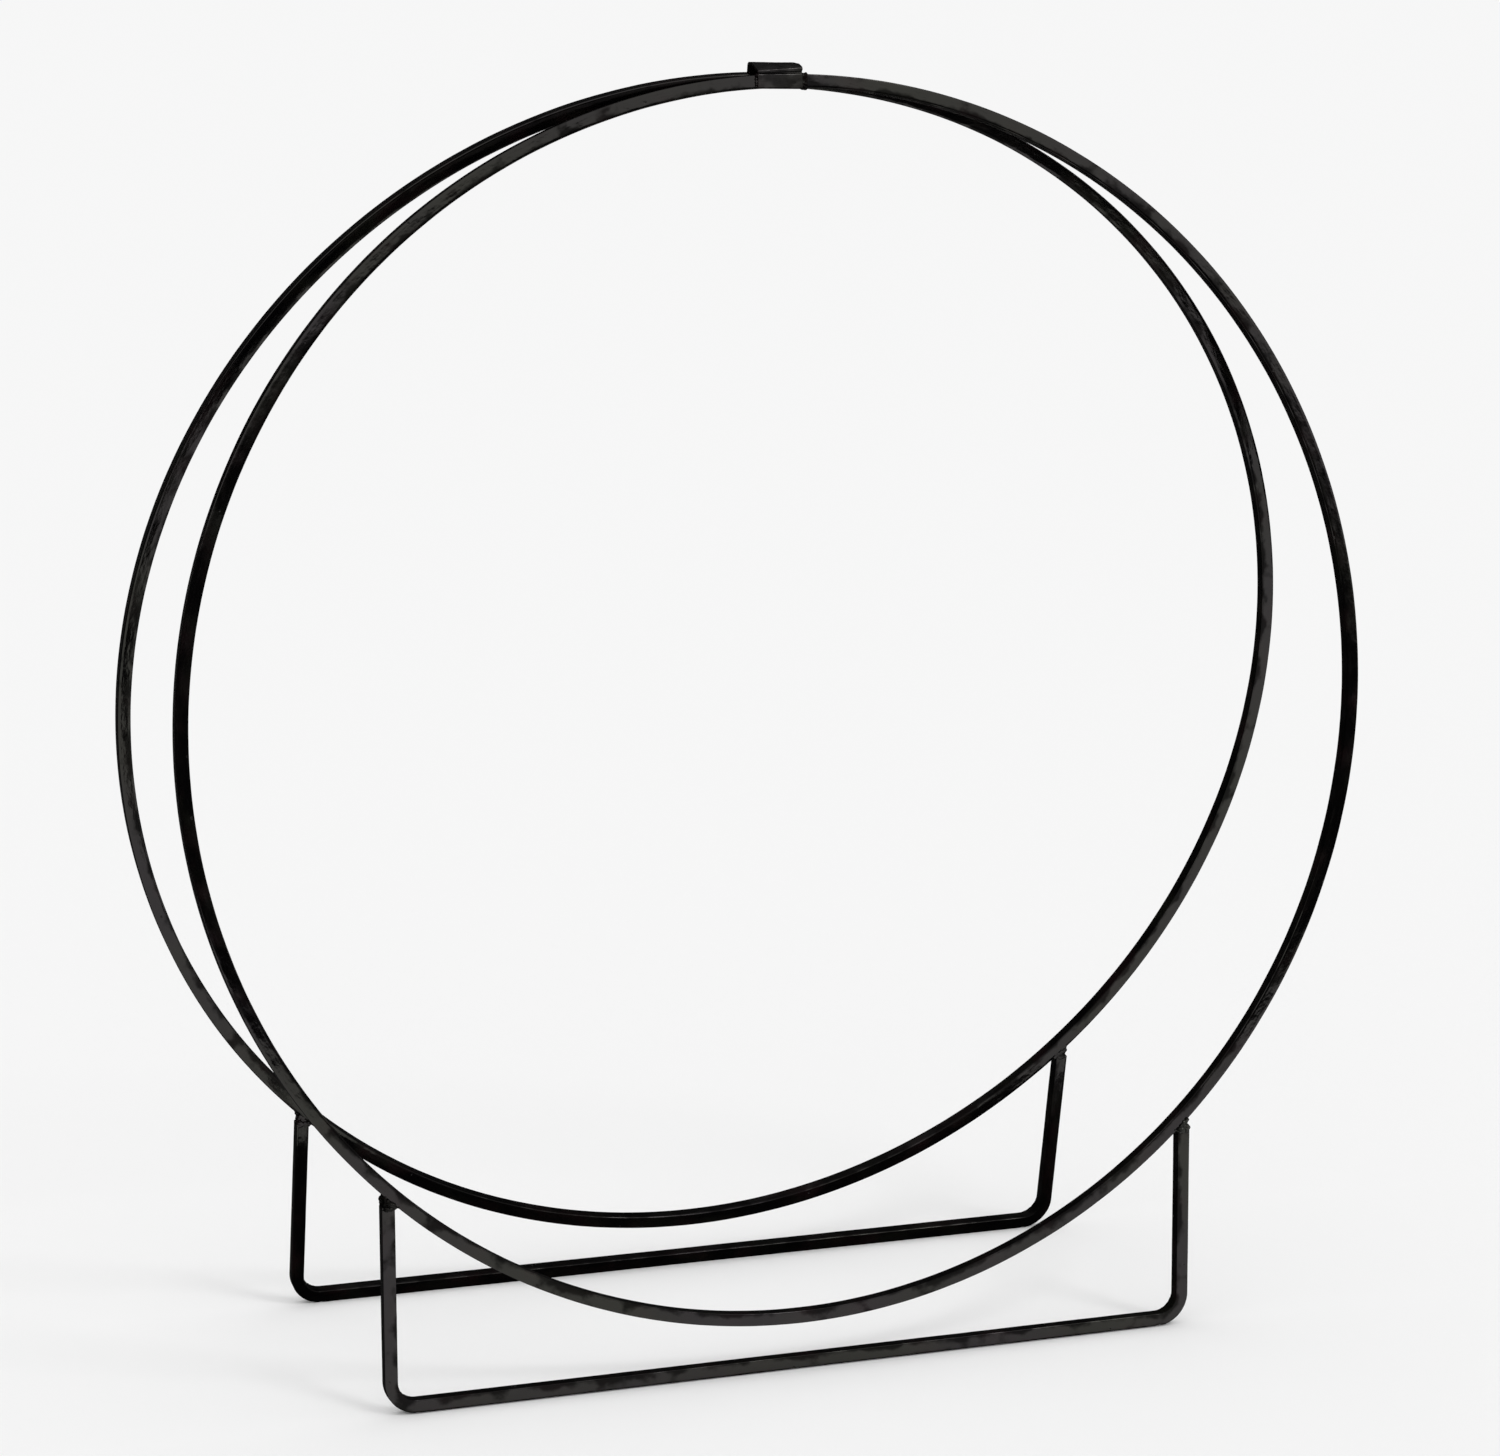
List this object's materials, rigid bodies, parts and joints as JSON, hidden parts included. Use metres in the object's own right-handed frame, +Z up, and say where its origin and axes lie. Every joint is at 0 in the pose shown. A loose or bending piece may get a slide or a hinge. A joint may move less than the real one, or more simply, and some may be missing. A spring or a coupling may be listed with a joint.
{
  "type": "folding firewood log rack",
  "caption": "Two round hoops of square steel bar on bent bar feet, hooked together at the top so they open as an A-frame for holding logs.",
  "frame": {"origin": "on the floor, midway between the two feet and midway between the two hoops' outer sides", "axes": "+Z up, -Y towards the front frame that carries the clip, +X to the right seen from the front"},
  "size_m": [1.2452, 0.301, 1.2676],
  "materials": {
    "bar_paint": "gloss",
    "clip_paint": "gloss",
    "weld_paint": "gloss"
  },
  "bodies": {
    "front_frame": {"front_hoop": "bar_paint", "front_foot": "bar_paint", "front_weld_left": "weld_paint", "front_weld_right": "weld_paint", "hinge_clip": "clip_paint", "clip_weld_left": "weld_paint", "clip_weld_right": "weld_paint"},
    "rear_frame": {"rear_hoop": "bar_paint", "rear_foot": "bar_paint", "rear_weld_left": "weld_paint", "rear_weld_right": "weld_paint"}
  },
  "joints": [
    {"name": "fold", "type": "hinge", "parent": "front_frame", "child": "rear_frame", "pos_m": [0, 0, 1.25746], "axis": [1, 0, 0], "range_deg": [-12.4, 0]}
  ]
}
